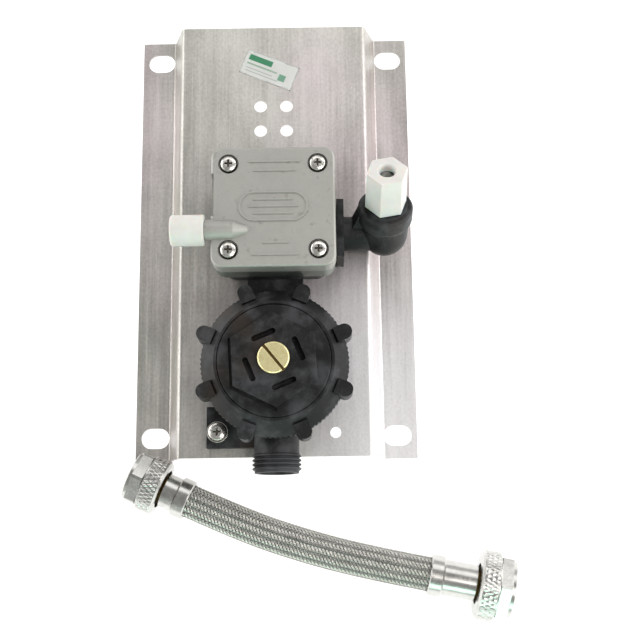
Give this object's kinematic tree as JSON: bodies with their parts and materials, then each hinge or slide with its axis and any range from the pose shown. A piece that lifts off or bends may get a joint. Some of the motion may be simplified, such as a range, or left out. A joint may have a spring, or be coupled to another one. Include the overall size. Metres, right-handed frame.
{
  "type": "air operated water valve",
  "caption": "Air-operated diaphragm water valve with a square servo head on a raised sheet-metal wall plate, with a loose braided supply hose.",
  "frame": {"origin": "centre of the four wall slots, on the plate's wall face", "axes": "+Z points away from the wall, +Y up the plate away from the inlet, +X towards the outlet elbow; the supply hose lies loose beyond the plate's inlet end"},
  "size_m": [0.1701, 0.2737, 0.0625],
  "materials": {
    "galvanised": "bright zinc-coated sheet",
    "label_paper": "printed paper",
    "black_moulding": "satin glass-filled nylon",
    "white_moulding": "satin nylon",
    "zinc_casting": "tumbled die casting",
    "plated_screw": "bright nickel plate",
    "brass": "turned",
    "spring_steel": "drawn wire",
    "black_rubber": "matt",
    "grey_plastic": "moulded acetal",
    "braid": "woven stainless wire",
    "nickel_plate": "polished plate"
  },
  "bodies": {
    "frame": {"mounting_plate": "galvanised", "label_sticker": "label_paper", "valve_body": "black_moulding", "inlet_strainer": "white_moulding", "flow_washer": "black_rubber", "tab_washer": "plated_screw", "tab_screw": "plated_screw", "tab_nut": "plated_screw", "rear_screws": "plated_screw", "main_diaphragm": "black_rubber", "diaphragm_spring": "spring_steel", "bonnet": "black_moulding", "ring_nut": "black_moulding", "head_gasket": "black_rubber", "servo_base": "zinc_casting", "servo_diaphragm": "black_rubber", "servo_spring": "spring_steel", "servo_cover": "zinc_casting", "cover_screws": "plated_screw"},
    "main_plug": {"diaphragm_insert": "grey_plastic"},
    "flow_ring": {"flow_screw_ring": "black_rubber"},
    "flow_screw": {"flow_screw": "brass"},
    "servo_piston": {"servo_piston": "grey_plastic", "pilot_seal": "black_rubber"},
    "air_ferrule": {"air_ferrule": "white_moulding"},
    "air_nut": {"air_tube_nut": "white_moulding"},
    "outlet_elbow": {"outlet_elbow": "black_moulding", "outlet_o_ring": "black_rubber"},
    "outlet_ferrule": {"outlet_ferrule": "white_moulding"},
    "outlet_nut": {"outlet_tube_nut": "white_moulding"},
    "hose": {"hose_tube": "braid", "left_ferrule": "nickel_plate", "left_stem": "brass", "left_washer": "black_rubber", "right_ferrule": "nickel_plate", "right_stem": "brass", "right_washer": "black_rubber"},
    "left_nut": {"left_nut": "nickel_plate"},
    "right_nut": {"right_nut": "nickel_plate"}
  },
  "joints": [
    {"name": "main_plug_lift", "type": "slide", "parent": "frame", "child": "main_plug", "axis": [0, 0, 1], "range_m": [0, 0.002], "stiffness_N_per_m": 600, "springref_m": -0.004, "deforming": ["diaphragm_spring", "main_diaphragm"]},
    {"name": "flow_screw_travel", "type": "slide", "parent": "frame", "child": "flow_ring", "axis": [0, 0, 1], "range_m": [-0.0008, 0.0008]},
    {"name": "flow_screw_turn", "type": "hinge", "parent": "flow_ring", "child": "flow_screw", "pos_m": [0.0012, -0.0648, 0.0546], "axis": [0, 0, 1], "range_deg": [-360, 360]},
    {"name": "servo_press", "type": "slide", "parent": "frame", "child": "servo_piston", "axis": [0, 0, -1], "range_m": [0, 0.001], "stiffness_N_per_m": 2500, "springref_m": -0.003, "deforming": ["servo_spring"]},
    {"name": "air_ferrule_travel", "type": "slide", "parent": "frame", "child": "air_ferrule", "axis": [-1, 0, 0], "range_m": [0, 0.003]},
    {"name": "air_nut_turn", "type": "hinge", "parent": "air_ferrule", "child": "air_nut", "pos_m": [-0.035, -0.0089, 0.0515], "axis": [-1, 0, 0], "range_deg": [0, 720]},
    {"name": "outlet_swivel", "type": "hinge", "parent": "frame", "child": "outlet_elbow", "pos_m": [0.0314, -0.0033, 0.0246], "axis": [1, 0, 0], "range_deg": [-35, 85]},
    {"name": "outlet_ferrule_travel", "type": "slide", "parent": "outlet_elbow", "child": "outlet_ferrule", "axis": [0, 0.454, 0.891], "range_m": [0, 0.003]},
    {"name": "outlet_nut_turn", "type": "hinge", "parent": "outlet_ferrule", "child": "outlet_nut", "pos_m": [0.0496, 0.01032, 0.05133], "axis": [0, 0.454, 0.891], "range_deg": [0, 720]},
    {"name": "hose_lift", "type": "slide", "parent": "frame", "child": "hose", "axis": [0, 0, 1], "range_m": [0, 0.08]},
    {"name": "left_nut_spin", "type": "hinge", "parent": "hose", "child": "left_nut", "pos_m": [-0.05989, -0.10964, 0.01215], "axis": [-0.91, 0.4147, 0], "continuous": true},
    {"name": "right_nut_spin", "type": "hinge", "parent": "hose", "child": "right_nut", "pos_m": [0.09744, -0.15872, 0.01455], "axis": [0.9799, -0.1994, 0], "continuous": true}
  ],
  "couplings": [
    {"joint": "flow_screw_turn", "follows": "flow_screw_travel", "rad_per_m": 7854},
    {"joint": "air_nut_turn", "follows": "air_ferrule_travel", "rad_per_m": 4188.8},
    {"joint": "outlet_nut_turn", "follows": "outlet_ferrule_travel", "rad_per_m": 4188.8}
  ]
}
